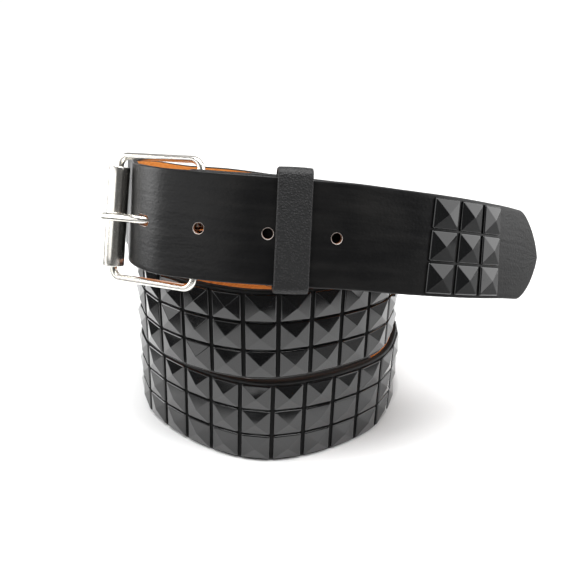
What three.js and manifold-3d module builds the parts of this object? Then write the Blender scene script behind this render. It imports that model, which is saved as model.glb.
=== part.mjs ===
// A studded leather belt with a roller buckle, buckled into a loop, wound three times round
// and stood on its lower edge. Millimetres, +Z up, -Y is the side with the buckle.
import * as THREE from 'three';
import Module from 'manifold-3d';
import { mergeVertices } from 'three/addons/utils/BufferGeometryUtils.js';

// Leather
const strapWidth = 40;
const strapThickness = 2.6;
const coilRadius = 65.8;
const tipLength = 18;
const tipRoundness = 1.5;
const tailLength = 189.5;

// Studs: three rows of square pyramids, each with a low lip
const studSize = 12;
const studLip = 1;
const studHeight = 2.5;
const studInset = 0.3;
const rowCount = 3;
const rowPitch = 12.7;
const columnPitch = 13.5;
const studBacking = 0.4;
const studStart = 62.8;
const tipPatchColumns = 3;
const tipPatchReach = 75.5;

// Punched holes
const holeDiameter = 4;
const holePitch = 25.4;
const holesBeforeProng = 1;
const holesAfterProng = 3;
const plainBeforeHoles = 36;
const prongHoleStretch = 4;
const holeDrop = 1;

// Buckle
const frameWire = 3;
const frameReach = 39.1;
const frameHeight = 49.6;
const frameCorner = 4.2;
const rollerDiameter = 8.2;
const prongWire = 3.2;
const buckleTurn = 22.9;
const prongLoopWall = 1.6;
const prongOverhang = 0.6;
const prongBend = 3;

// Fold round the buckle's heel bar, its rivets, and the keeper
const flapLength = 28;
const rivetFromBar = 19;
const rivetSpread = 20;
const rivetPin = 2.4;
const rivetHead = 7;
const rivetHeadThickness = 0.8;
const keeperFromBar = 37;
const keeperWidth = 13;
const keeperWall = 1.7;
const keeperSlack = 1.7;
const keeperTurn = 4;

// How finely round things are cut
const wireSides = 10;
const ringSides = 16;
const rollerSides = 20;
const rivetSides = 12;
const prongSteps = 22;
const cornerSteps = 5;
const foldSteps = 8;
const edgeStep = 6.4;

// Clearances
const seatGap = 0.3;
const runningGap = 0.35;
const laneGap = 0.8;
const overlapGap = 1.5;

// The top turn leans back, and its tip back and to the left: their own
// uprights, as slopes along X and Y
const topLean = new THREE.Vector3(0, 0.295, 0);
const tipLean = new THREE.Vector3(-0.16, 0.24, 0);
const tipLeanFrom = 1028;
const tipLeanTo = 1058;

const laneStep = strapThickness + studHeight + laneGap;
const layerStep = strapThickness + overlapGap;
const barSeat = frameWire / 2 + runningGap + strapThickness / 2;
const prongClearance = prongWire / 2 + seatGap;

// The strap's route from the heel bar to the tip, seen from above. Each row is a section:
// turn in degrees counted on round all the turns, reach as a share of the coil's radius,
// lane as a number of studded layers further out, under as a number of plain layers further
// in, level as a share of the strap's width, and lean as a share of the top turn's lean.
const route = [
  { turn: -110.5, reach: 1.18, lane: 0, under: 1, level: 2.755, lean: 1 },
  { turn: -99, reach: 1.155, lane: 0, under: 1, level: 2.76, lean: 1 },
  { turn: -89, reach: 1.143, lane: 0, under: 1, level: 2.76, lean: 1 },
  { turn: -79, reach: 1.15, lane: 0, under: 1, level: 2.735, lean: 1 },
  { turn: -66, reach: 1.185, lane: -1, under: 0, level: 2.68, lean: 1 },
  { turn: -52, reach: 1.252, lane: -1, under: 0, level: 2.58, lean: 1 },
  { turn: -36, reach: 1.02, lane: 1, under: 0, level: 2.41, lean: 1 },
  { turn: -18, reach: 1.02, lane: 1.1, under: 0, level: 2.15, lean: 0.8 },
  { turn: 0, reach: 1.01, lane: 1.2, under: 0, level: 1.87, lean: 0.5 },
  { turn: 22, reach: 0.97, lane: 1.7, under: 0, level: 1.55, lean: 0.2 },
  { turn: 45, reach: 0.94, lane: 2.05, under: 0, level: 1.25, lean: 0 },
  { turn: 70, reach: 0.93, lane: 2.1, under: 0, level: 0.97, lean: 0 },
  { turn: 95, reach: 0.93, lane: 2.1, under: 0, level: 0.73, lean: 0 },
  { turn: 120, reach: 0.94, lane: 2, under: 0, level: 0.55, lean: 0 },
  { turn: 135, reach: 0.95, lane: 1.7, under: 0, level: 0.5, lean: 0 },
  { turn: 150, reach: 0.97, lane: 1.25, under: 0, level: 0.5, lean: 0 },
  { turn: 165, reach: 0.99, lane: 0.5, under: 0, level: 0.5, lean: 0 },
  { turn: 180, reach: 1, lane: 0, under: 0, level: 0.5, lean: 0 },
  { turn: 215, reach: 1, lane: 0, under: 0, level: 0.5, lean: 0 },
  { turn: 270, reach: 1, lane: 0, under: 0, level: 0.5, lean: 0 },
  { turn: 320, reach: 1.0, lane: 0, under: 0, level: 0.5, lean: 0 },
  { turn: 345, reach: 0.98, lane: 0, under: 0, level: 0.5, lean: 0 },
  { turn: 360, reach: 0.955, lane: 0, under: 0, level: 0.5, lean: 0 },
  { turn: 382, reach: 0.92, lane: 0, under: 0, level: 0.57, lean: 0 },
  { turn: 405, reach: 0.895, lane: 0, under: 0, level: 0.74, lean: 0 },
  { turn: 430, reach: 0.885, lane: 0, under: 0, level: 0.95, lean: 0 },
  { turn: 455, reach: 0.885, lane: 0, under: 0, level: 1.17, lean: 0 },
  { turn: 480, reach: 0.895, lane: 0, under: 0, level: 1.385, lean: 0 },
  { turn: 497, reach: 0.915, lane: 0, under: 0, level: 1.5, lean: 0 },
  { turn: 510, reach: 0.945, lane: 0, under: 0, level: 1.535, lean: 0 },
  { turn: 540, reach: 0.985, lane: 0, under: 0, level: 1.55, lean: 0 },
  { turn: 585, reach: 1.035, lane: 0, under: 0, level: 1.57, lean: 0 },
  { turn: 630, reach: 1.058, lane: 0, under: 0, level: 1.602, lean: 0 },
  { turn: 675, reach: 1.03, lane: 0, under: 0, level: 1.62, lean: 0 },
  { turn: 686, reach: 1.0, lane: 0, under: 0, level: 1.627, lean: 0 },
  { turn: 705, reach: 0.93, lane: 0, under: 0, level: 1.64, lean: 0 },
  { turn: 725, reach: 0.915, lane: 0.1, under: 0, level: 1.665, lean: 0 },
  { turn: 742, reach: 0.96, lane: 0.6, under: 0, level: 1.71, lean: 0 },
  { turn: 765, reach: 0.94, lane: 1, under: 0, level: 1.78, lean: 0 },
  { turn: 790, reach: 0.93, lane: 1.05, under: 0, level: 1.85, lean: 0 },
  { turn: 815, reach: 0.93, lane: 1.05, under: 0, level: 1.94, lean: 0 },
  { turn: 840, reach: 0.94, lane: 1.05, under: 0, level: 2.05, lean: 0 },
  { turn: 865, reach: 0.96, lane: 1.08, under: 0, level: 2.17, lean: 0.15 },
  { turn: 885, reach: 1.085, lane: 0, under: 0, level: 2.33, lean: 0.4 },
  { turn: 903, reach: 1.087, lane: 0, under: 0, level: 2.45, lean: 0.7 },
  { turn: 912, reach: 1.07, lane: 0, under: 0, level: 2.53, lean: 0.8 },
  { turn: 920, reach: 1.048, lane: 0, under: 0, level: 2.57, lean: 0.9 },
  { turn: 934, reach: 1.076, lane: 0, under: 0, level: 2.63, lean: 1 },
  { turn: 945, reach: 1.15, lane: 0, under: 0, level: 2.693, lean: 1 },
  { turn: 953, reach: 1.19, lane: 0, under: 0, level: 2.73, lean: 1 },
  { turn: 961, reach: 1.202, lane: 0, under: 0, level: 2.752, lean: 1 },
  { turn: 971, reach: 1.176, lane: 0, under: 0, level: 2.767, lean: 1 },
  { turn: 981, reach: 1.155, lane: 0, under: 0, level: 2.77, lean: 1 },
  { turn: 991, reach: 1.143, lane: 0, under: 0, level: 2.765, lean: 1 },
  { turn: 1001, reach: 1.15, lane: 0, under: 0, level: 2.748, lean: 1 },
  { turn: 1014, reach: 1.185, lane: 0, under: 0, level: 2.715, lean: 1 },
  { turn: 1028, reach: 1.282, lane: 0, under: 0, level: 2.645, lean: 1 },
  { turn: 1037.4, reach: 1.389, lane: 0, under: 0, level: 2.585, lean: 1 },
  { turn: 1044.8, reach: 1.479, lane: 0, under: 0, level: 2.52, lean: 1 },
  { turn: 1051.7, reach: 1.568, lane: 0, under: 0, level: 2.443, lean: 1 },
  { turn: 1058.2, reach: 1.664, lane: 0, under: 0, level: 2.358, lean: 1 },
  { turn: 1064, reach: 1.77, lane: 0, under: 0, level: 2.26, lean: 1 },
  { turn: 1070, reach: 1.912, lane: 0, under: 0, level: 2.14, lean: 1 },
];

const wasm = await Module();
wasm.setup();

// Materials
const finishes = {
  leather: { color: 0x1b1b1c, roughness: 0.5, metalness: 0 },
  pebbledLeather: { color: 0x232324, roughness: 0.6, metalness: 0 },
  enamel: { color: 0x0b0b0d, roughness: 0.15, metalness: 0.1 },
  nickel: { color: 0xd9dadc, roughness: 0.18, metalness: 1 },
};

const group = new THREE.Group();

function addPiece(name, geometry, finish) {
  const mesh = new THREE.Mesh(geometry, new THREE.MeshStandardMaterial(finishes[finish]));
  mesh.name = name;
  group.add(mesh);
  return mesh;
}

// A closed geometry as a solid that can be cut and joined
function solidOf(geometry) {
  const bare = geometry.index ? geometry.toNonIndexed() : geometry.clone();
  bare.deleteAttribute('normal');
  bare.deleteAttribute('uv');
  const merged = mergeVertices(bare, 1e-4);
  return new wasm.Manifold(new wasm.Mesh({
    numProp: 3,
    vertProperties: new Float32Array(merged.attributes.position.array),
    triVerts: new Uint32Array(merged.index.array),
  }));
}

function geometryOf(solid) {
  const mesh = solid.getMesh();
  const geometry = new THREE.BufferGeometry();
  geometry.setAttribute('position', new THREE.BufferAttribute(mesh.vertProperties, 3));
  geometry.setIndex(new THREE.BufferAttribute(mesh.triVerts, 1));
  geometry.computeVertexNormals();
  return geometry;
}

// A geometry from corner points and the faces between them, each face wound outwards
function geometryFrom(points, faces) {
  const geometry = new THREE.BufferGeometry();
  geometry.setAttribute('position', new THREE.Float32BufferAttribute(points.flatMap((p) => p.toArray()), 3));
  geometry.setIndex(faces.flatMap((face) => face.slice(2).flatMap((_, i) => [face[0], face[i + 1], face[i + 2]])));
  geometry.computeVertexNormals();
  return geometry;
}

// The strap's centre line, measured from the heel bar. A frame holds a point on it, the way
// along it, the way across it to its upper edge, and the way out through its grain side.
function makeLine(rows) {
  const points = rows.map((row) => {
    const angle = THREE.MathUtils.degToRad(row.turn);
    const reach = row.reach * coilRadius + row.lane * laneStep - row.under * layerStep;
    return new THREE.Vector3(reach * Math.cos(angle), reach * Math.sin(angle), row.level * strapWidth);
  });
  const curve = new THREE.CatmullRomCurve3(points, false, 'centripetal');
  const steps = 24 * (rows.length - 1);
  const samples = [];
  for (let i = 0; i <= steps; i += 1) {
    const place = (i / steps) * (rows.length - 1);
    const row = Math.min(Math.floor(place), rows.length - 2);
    const turn = THREE.MathUtils.lerp(rows[row].turn, rows[row + 1].turn, place - row);
    const lean = topLean.clone().lerp(tipLean, THREE.MathUtils.smoothstep(turn, tipLeanFrom, tipLeanTo))
      .multiplyScalar(THREE.MathUtils.lerp(rows[row].lean, rows[row + 1].lean, place - row));
    const point = curve.getPoint(i / steps);
    point.z = Math.max(point.z, strapWidth / 2);
    const along = i === 0 ? 0 : samples[i - 1].along + point.distanceTo(samples[i - 1].point);
    samples.push({ point, lean, along });
  }
  const length = samples[steps].along;

  function sampleAt(along) {
    let low = 0;
    let high = steps;
    while (high - low > 1) {
      const middle = (low + high) >> 1;
      if (samples[middle].along <= along) low = middle;
      else high = middle;
    }
    const share = (along - samples[low].along) / (samples[high].along - samples[low].along);
    return {
      point: samples[low].point.clone().lerp(samples[high].point, share),
      lean: samples[low].lean.clone().lerp(samples[high].lean, THREE.MathUtils.clamp(share, 0, 1)),
    };
  }

  function frameAt(along) {
    const { point, lean } = sampleAt(along);
    const forward = sampleAt(along + 1).point.sub(sampleAt(along - 1).point).normalize();
    const upright = new THREE.Vector3(0, 0, 1).add(lean);
    const across = upright.addScaledVector(forward, -upright.dot(forward)).normalize();
    return { point, forward, across, out: forward.clone().cross(across) };
  }

  return { length, frameAt };
}

// A point of a frame: across the strap, then out through its grain side, then along it
function pointIn(frame, across, out, along = 0) {
  return frame.point.clone()
    .addScaledVector(frame.across, across)
    .addScaledVector(frame.out, out)
    .addScaledVector(frame.forward, along);
}

// Moves a geometry made round the origin into a frame: X goes along, Y across and Z out
function placeIn(geometry, frame, across = 0, out = 0, along = 0) {
  const matrix = new THREE.Matrix4().makeBasis(frame.forward, frame.across, frame.out);
  matrix.setPosition(pointIn(frame, across, out, along));
  return geometry.applyMatrix4(matrix);
}

const line = makeLine(route);

// Places along the line, worked back from the prong's hole
const prongHoleAt = line.length - tailLength;
const strapEnd = line.length;
const barFrame = line.frameAt(0);
const firstHoleAt = prongHoleAt - holesBeforeProng * holePitch;
const fieldEnd = firstHoleAt - plainBeforeHoles;
const columnCount = Math.floor((fieldEnd - studStart) / columnPitch);
const tipPatchAt = strapEnd - tipPatchReach;

// The buckle's own frame: the heel bar's middle, level with the free end's hole, across as the strap's, and forward towards
// the roller, so that out faces away from the coil
const barMiddle = pointIn(barFrame, -holeDrop, -barSeat);
const prongHole = pointIn(line.frameAt(prongHoleAt), -holeDrop, 0);
const buckleAcross = barFrame.across.clone().negate();
const buckleAngle = THREE.MathUtils.degToRad(buckleTurn);
const buckleHeading = new THREE.Vector3(-Math.cos(buckleAngle), Math.sin(buckleAngle), 0);
const buckleForward = buckleHeading.addScaledVector(buckleAcross, -buckleHeading.dot(buckleAcross)).normalize();
const buckle = {
  point: barMiddle,
  forward: buckleForward,
  across: buckleAcross,
  out: buckleForward.clone().cross(buckleAcross),
};

// Sections of the strap in order: the flap, round the heel bar, the turns, and the tip
const flapTaper = 9;
const tipShares = [0.25, 0.5, 0.7, 0.85, 0.95, 1];

// Places from start up to but not at end, about one step apart
function spread(start, end) {
  const steps = Math.max(1, Math.round((end - start) / edgeStep));
  return Array.from({ length: steps }, (_, i) => start + (i / steps) * (end - start));
}

// The near and far edge of each column of studs
function studEdges(start, columns) {
  return Array.from({ length: columns }, (_, i) => start + i * columnPitch).flatMap((edge) => [edge, edge + studSize]);
}

function strapSections() {
  const sections = [];
  const flapRest = strapThickness + runningGap;
  const flapSteps = Math.ceil(flapLength / edgeStep);
  for (let i = flapSteps; i >= 1; i -= 1) {
    const along = (i / flapSteps) * flapLength;
    const frame = line.frameAt(along);
    const ease = THREE.MathUtils.smoothstep(along, 0, flapTaper);
    const drop = THREE.MathUtils.lerp(2 * barSeat, flapRest, ease);
    sections.push({
      point: pointIn(frame, 0, -drop),
      across: frame.across,
      out: frame.out.clone().negate(),
      half: strapWidth / 2,
    });
  }
  for (let i = 0; i <= foldSteps; i += 1) {
    const angle = Math.PI * (1 - i / foldSteps);
    const out = barFrame.out.clone().multiplyScalar(Math.cos(angle)).addScaledVector(barFrame.forward, -Math.sin(angle));
    sections.push({
      point: pointIn(barFrame, 0, -barSeat).addScaledVector(out, barSeat),
      across: barFrame.across,
      out,
      half: strapWidth / 2,
    });
  }
  const bodyEnd = strapEnd - tipLength;
  const places = [
    ...spread(edgeStep, studStart),
    ...studEdges(studStart, columnCount),
    ...spread(studStart + columnCount * columnPitch, tipPatchAt),
    ...studEdges(tipPatchAt, tipPatchColumns),
    ...spread(tipPatchAt + tipPatchColumns * columnPitch, bodyEnd),
    bodyEnd,
  ];
  places.forEach((along) => sections.push({ ...line.frameAt(along), half: strapWidth / 2 }));
  for (const share of tipShares) {
    const taper = (1 - share ** tipRoundness) ** (1 / tipRoundness);
    const half = Math.max((strapWidth / 2) * taper, strapThickness / 4);
    sections.push({ ...line.frameAt(bodyEnd + share * tipLength), half });
  }
  return sections;
}

// A band of leather: four corners to each section, and faces between neighbours
function bandGeometry(sections, thickness) {
  const points = sections.flatMap((section) => [
    [section.half, thickness / 2],
    [-section.half, thickness / 2],
    [-section.half, -thickness / 2],
    [section.half, -thickness / 2],
  ].map(([across, out]) => section.point.clone()
    .addScaledVector(section.across, across)
    .addScaledVector(section.out, out)));
  const faces = [[3, 2, 1, 0]];
  for (let i = 0; i < sections.length - 1; i += 1) {
    const a = 4 * i;
    for (let side = 0; side < 4; side += 1) {
      const next = (side + 1) % 4;
      faces.push([a + next, a + next + 4, a + side + 4, a + side]);
    }
  }
  const last = 4 * (sections.length - 1);
  faces.push([last, last + 1, last + 2, last + 3]);
  return geometryFrom(points, faces);
}

// A round bar along Z, or an oblong one, stretched along X
function punch(diameter, depth, stretch = 0) {
  const outline = new THREE.Shape();
  outline.absarc(stretch / 2, 0, diameter / 2, -Math.PI / 2, Math.PI / 2, false);
  outline.absarc(-stretch / 2, 0, diameter / 2, Math.PI / 2, (3 * Math.PI) / 2, false);
  const geometry = new THREE.ExtrudeGeometry(outline, { depth, bevelEnabled: false, curveSegments: 6 });
  return geometry.translate(0, 0, -depth / 2);
}

const rivetPlaces = [rivetSpread / 2, -rivetSpread / 2];
const rivetStackMiddle = -(strapThickness + runningGap) / 2;
const rivetGrip = 2 * strapThickness + runningGap + 2 * seatGap;

function makeStrap() {
  let strap = solidOf(bandGeometry(strapSections(), strapThickness));
  const deep = 3 * strapThickness;
  for (let i = -holesBeforeProng; i <= holesAfterProng; i += 1) {
    const frame = line.frameAt(prongHoleAt + i * holePitch);
    const stretch = i === 0 ? prongHoleStretch : 0;
    const size = i === 0 ? prongWire + 3 * seatGap : holeDiameter;
    strap = strap.subtract(solidOf(placeIn(punch(size, deep, stretch), frame, -holeDrop)));
  }
  const slotWidth = prongWire + 4 * seatGap;
  const slotDepth = 2 * barSeat + strapThickness + seatGap;
  const slot = punch(slotWidth, slotDepth, 4 * barSeat);
  strap = strap.subtract(solidOf(placeIn(slot, barFrame, -holeDrop, -barSeat)));
  const rivetFrame = line.frameAt(rivetFromBar);
  for (const across of rivetPlaces) {
    const bore = punch(rivetPin + 2 * seatGap, rivetGrip + seatGap);
    strap = strap.subtract(solidOf(placeIn(bore, rivetFrame, across, rivetStackMiddle)));
  }
  addPiece('strap', geometryOf(strap), 'leather');
}

// One pyramid stud between two frames: base corners, lip corners and peak
const rowEdges = Array.from({ length: rowCount }, (_, row) => {
  const middle = (row - (rowCount - 1) / 2) * rowPitch;
  return [middle - studSize / 2, middle + studSize / 2];
}).flat();
const grain = strapThickness / 2;

function studCap(start, end, low, high) {
  const lipOut = grain + studLip;
  const corner = (frame, across, along) => pointIn(frame, across, lipOut, along);
  const lip = [
    corner(start, low + studInset, studInset),
    corner(end, low + studInset, -studInset),
    corner(end, high - studInset, -studInset),
    corner(start, high - studInset, studInset),
  ];
  const middle = (low + high) / 2;
  const peak = pointIn(start, middle, grain + studHeight).lerp(pointIn(end, middle, grain + studHeight), 0.5);
  return [...lip, peak];
}

// The faces of a stud on four base corners, given in the order low start, low end, high end,
// high start, with its cap's five points numbered from cap
function studFaces(base, cap) {
  const faces = [];
  for (let side = 0; side < 4; side += 1) {
    const next = (side + 1) % 4;
    faces.push([base[side], base[next], cap + next, cap + side]);
    faces.push([cap + side, cap + next, cap + 4]);
  }
  return faces;
}

// A run of stud columns in one body, joined by a thin backing that follows the strap
function studRun(firstAlong, columns) {
  const inner = grain + seatGap;
  const outer = inner + studBacking;
  const points = [];
  const faces = [];
  const edges = rowEdges.length;
  const frames = studEdges(firstAlong, columns).map((along) => line.frameAt(along));
  frames.forEach((frame) => {
    rowEdges.forEach((across) => points.push(pointIn(frame, across, outer)));
    points.push(pointIn(frame, rowEdges[0], inner), pointIn(frame, rowEdges[edges - 1], inner));
  });
  const stride = edges + 2;
  frames.slice(1).forEach((end, i) => {
    const start = frames[i];
    const a = i * stride;
    const b = a + stride;
    for (let edge = 0; edge < edges - 1; edge += 1) {
      const base = [a + edge, b + edge, b + edge + 1, a + edge + 1];
      if (i % 2 === 0 && edge % 2 === 0) {
        const cap = points.length;
        points.push(...studCap(start, end, rowEdges[edge], rowEdges[edge + 1]));
        faces.push(...studFaces(base, cap));
      } else {
        faces.push(base);
      }
    }
    faces.push([a + edges - 1, b + edges - 1, b + edges + 1, a + edges + 1]);
    faces.push([a + edges, a + edges + 1, b + edges + 1, b + edges]);
    faces.push([a + edges, b + edges, b, a]);
  });
  const across = [...rowEdges.keys()];
  const last = (frames.length - 1) * stride;
  faces.push([edges, ...across, edges + 1]);
  faces.push([last + edges + 1, ...across.map((edge) => last + edge).reverse(), last + edges]);
  return geometryFrom(points, faces);
}

function makeStuds() {
  const lowerColumns = Math.floor(columnCount / 2);
  addPiece('stud_field_lower', studRun(studStart, lowerColumns), 'enamel');
  const upperStart = studStart + lowerColumns * columnPitch;
  addPiece('stud_field_upper', studRun(upperStart, columnCount - lowerColumns), 'enamel');
  for (let column = 0; column < tipPatchColumns; column += 1) {
    const start = line.frameAt(tipPatchAt + column * columnPitch);
    const end = line.frameAt(tipPatchAt + column * columnPitch + studSize);
    for (let row = 0; row < rowCount; row += 1) {
      const [low, high] = rowEdges.slice(2 * row, 2 * row + 2);
      const seat = grain + seatGap;
      const base = [pointIn(start, low, seat), pointIn(end, low, seat), pointIn(end, high, seat), pointIn(start, high, seat)];
      const points = [...base, ...studCap(start, end, low, high)];
      const faces = [[3, 2, 1, 0], ...studFaces([0, 1, 2, 3], 4)];
      addPiece(`tip_stud_${column + 1}_${row + 1}`, geometryFrom(points, faces), 'enamel');
    }
  }
}

// The frame: round wire bent to a rectangle with round corners, forward and across in X and Y
function makeFrame() {
  const outline = [];
  const inset = frameHeight / 2 - frameCorner;
  const corners = [
    [frameReach - frameCorner, inset, 0],
    [frameCorner, inset, 90],
    [frameCorner, -inset, 180],
    [frameReach - frameCorner, -inset, 270],
  ];
  for (const [x, y, start] of corners) {
    for (let i = 0; i <= cornerSteps; i += 1) {
      const angle = THREE.MathUtils.degToRad(start + (90 * i) / cornerSteps);
      outline.push(new THREE.Vector3(x + frameCorner * Math.cos(angle), y + frameCorner * Math.sin(angle), 0));
    }
  }
  return geometryOf(loopSolid(outline, frameWire / 2, wireSides));
}

// A closed loop of round wire through flat outline points
function loopSolid(outline, radius, sides) {
  const count = outline.length;
  const points = [];
  const faces = [];
  outline.forEach((point, i) => {
    const before = outline[(i + count - 1) % count];
    const after = outline[(i + 1) % count];
    const way = after.clone().sub(before).normalize();
    const side = new THREE.Vector3(way.y, -way.x, 0);
    for (let k = 0; k < sides; k += 1) {
      const angle = (2 * Math.PI * k) / sides;
      const shift = side.clone().multiplyScalar(radius * Math.cos(angle));
      points.push(point.clone().add(shift).add(new THREE.Vector3(0, 0, radius * Math.sin(angle))));
    }
  });
  for (let i = 0; i < count; i += 1) {
    const next = (i + 1) % count;
    for (let k = 0; k < sides; k += 1) {
      const turn = (k + 1) % sides;
      faces.push([i * sides + k, next * sides + k, next * sides + turn, i * sides + turn]);
    }
  }
  return solidOf(geometryFrom(points, faces));
}

// A ring or tube round Y, from a closed profile of radius and height
function tubeGeometry(inner, outer, length, sides) {
  const half = length / 2;
  const profile = [[inner, -half], [outer, -half], [outer, half], [inner, half], [inner, -half]];
  return new THREE.LatheGeometry(profile.map(([r, y]) => new THREE.Vector2(r, y)), sides);
}

// The prong: a ring round the heel bar and a round rod that runs inside the free end, comes
// out through its hole and ends over the roller
function makeProng() {
  const ringInner = frameWire / 2 + seatGap;
  const ring = tubeGeometry(ringInner, ringInner + prongLoopWall, prongWire, ringSides);
  const overRoller = rollerDiameter / 2 + prongClearance;
  const besideStrap = strapThickness / 2 + prongClearance;
  const tip = pointIn(buckle, 0, overRoller, frameReach + prongOverhang);
  const bend = new THREE.CatmullRomCurve3([
    pointIn(buckle, 0, 0, ringInner + prongLoopWall / 2),
    pointIn(line.frameAt(prongHoleAt + prongBend), -holeDrop, -besideStrap),
    prongHole,
    pointIn(line.frameAt(prongHoleAt - prongBend), -holeDrop, besideStrap),
    pointIn(buckle, 0, overRoller, frameReach),
    tip,
  ], false, 'centripetal');
  const section = new THREE.Shape();
  section.absarc(0, 0, prongWire / 2, 0, 2 * Math.PI, false);
  const rod = new THREE.ExtrudeGeometry(section, { steps: prongSteps, extrudePath: bend, curveSegments: wireSides / 2 });
  const point = new THREE.SphereGeometry(prongWire / 2, wireSides, 6).translate(...tip);
  return geometryOf(solidOf(placeIn(ring, buckle)).add(solidOf(rod)).add(solidOf(point)));
}

function makeBuckle() {
  addPiece('buckle_frame', placeIn(makeFrame(), buckle), 'nickel');
  const rollerLength = frameHeight - 2 * frameCorner - 2 * runningGap;
  const roller = tubeGeometry(frameWire / 2 + runningGap, rollerDiameter / 2, rollerLength, rollerSides);
  addPiece('roller', placeIn(geometryOf(solidOf(roller)), buckle, 0, 0, frameReach), 'nickel');
  addPiece('prong', makeProng(), 'nickel');
}

// Rivets through the fold: a pin with a flat head at each end, turned round Z
function makeRivets() {
  const half = rivetGrip / 2;
  const profile = [
    [0, -half - rivetHeadThickness],
    [rivetHead / 2, -half - rivetHeadThickness],
    [rivetHead / 2, -half],
    [rivetPin / 2, -half],
    [rivetPin / 2, half],
    [rivetHead / 2, half],
    [rivetHead / 2, half + rivetHeadThickness],
    [0, half + rivetHeadThickness],
  ];
  const frame = line.frameAt(rivetFromBar);
  rivetPlaces.forEach((across, i) => {
    const lathe = new THREE.LatheGeometry(profile.map(([r, y]) => new THREE.Vector2(r, y)), rivetSides).rotateX(Math.PI / 2);
    const geometry = geometryOf(solidOf(lathe));
    addPiece(`fold_rivet_${i + 1}`, placeIn(geometry, frame, across, rivetStackMiddle), 'nickel');
  });
}

// The keeper: a flat leather loop round the free end and the strap under it
function roundedRectangle(halfDeep, halfTall, radius) {
  const outline = new THREE.Shape();
  outline.absarc(halfDeep - radius, halfTall - radius, radius, 0, Math.PI / 2, false);
  outline.absarc(radius - halfDeep, halfTall - radius, radius, Math.PI / 2, Math.PI, false);
  outline.absarc(radius - halfDeep, radius - halfTall, radius, Math.PI, 1.5 * Math.PI, false);
  outline.absarc(halfDeep - radius, radius - halfTall, radius, 1.5 * Math.PI, 2 * Math.PI, false);
  return outline;
}

function makeKeeper() {
  const halfDeep = (layerStep + strapThickness) / 2 + 2 * seatGap;
  const halfTall = strapWidth / 2 + keeperSlack;
  const outline = roundedRectangle(halfDeep + keeperWall, halfTall + keeperWall, 2 * keeperWall);
  outline.holes.push(roundedRectangle(halfDeep, halfTall, keeperWall));
  const geometry = new THREE.ExtrudeGeometry(outline, { depth: keeperWidth, bevelEnabled: false, curveSegments: 3 });
  geometry.translate(0, 0, -keeperWidth / 2);
  const frame = line.frameAt(keeperFromBar);
  const tilt = THREE.MathUtils.degToRad(keeperTurn);
  frame.forward.applyAxisAngle(frame.out, tilt);
  frame.across.applyAxisAngle(frame.out, tilt);
  const matrix = new THREE.Matrix4().makeBasis(frame.across.clone().cross(frame.forward), frame.across, frame.forward);
  matrix.setPosition(pointIn(frame, 0, layerStep / 2));
  addPiece('keeper', geometryOf(solidOf(geometry.applyMatrix4(matrix))), 'pebbledLeather');
}

makeStrap();
makeStuds();
makeBuckle();
makeRivets();
makeKeeper();

// The origin is the middle of the whole belt's box, on the surface that it stands on
const box = new THREE.Box3().setFromObject(group);
const centre = box.getCenter(new THREE.Vector3());
group.position.set(-centre.x, -centre.y, -box.min.z);

export default group;
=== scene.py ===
"""The looks of the studded belt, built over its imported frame: a black leather strap with a tan flesh
side, three rows of glossy black pyramid studs, a polished nickel roller buckle and a pebbled keeper."""
import math

import bpy
import numpy as np
from mathutils import Matrix, Vector


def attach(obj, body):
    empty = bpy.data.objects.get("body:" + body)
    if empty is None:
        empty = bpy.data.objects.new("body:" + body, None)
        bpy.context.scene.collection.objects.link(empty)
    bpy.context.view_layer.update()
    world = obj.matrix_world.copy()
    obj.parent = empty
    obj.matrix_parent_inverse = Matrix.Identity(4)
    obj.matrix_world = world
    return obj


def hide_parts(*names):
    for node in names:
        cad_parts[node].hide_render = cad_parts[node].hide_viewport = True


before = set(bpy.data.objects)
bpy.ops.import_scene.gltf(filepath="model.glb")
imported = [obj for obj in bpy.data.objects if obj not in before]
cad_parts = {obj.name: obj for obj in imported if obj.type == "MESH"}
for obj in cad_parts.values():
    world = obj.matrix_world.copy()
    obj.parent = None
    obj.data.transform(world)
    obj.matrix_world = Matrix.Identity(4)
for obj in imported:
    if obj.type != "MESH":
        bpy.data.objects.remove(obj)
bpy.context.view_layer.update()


# ---------------------------------------------------------------- strap
# One piece of full-grain leather, black on its grain side and cut edges and tan on its flesh side.
# It folds round the buckle's heel bar, winds a little over three times round and ends in a tip.
STRAP_WIDTH = 40.0
STRAP_THICKNESS = 2.6
STRAP_EDGE_ROUND = 0.75
STRAP_STEP = 2.2
LINE_STEPS = 24
FOLD_SECTIONS = 17
COIL_RADIUS = 65.8
LANE_STEP = 5.9
LAYER_STEP = 4.1
TIP_LENGTH = 18.0
TIP_ROUNDNESS = 1.5
BAR_SEAT = 3.15
FLAP_LENGTH = 28.0
FLAP_REST = 2.95
FLAP_TAPER = 9.0
MIDDLE_SHIFT = np.array([-25.1473, 3.7024, 0.0])
GRAIN_BLACK = (0.0045, 0.0045, 0.0048, 1)
GRAIN_WORN = (0.012, 0.0115, 0.011, 1)
FLESH_TAN = (0.58, 0.19, 0.03, 1)
FLESH_PALE = (0.72, 0.29, 0.07, 1)
EDGE_BLACK = (0.016, 0.013, 0.011, 1)

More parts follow.
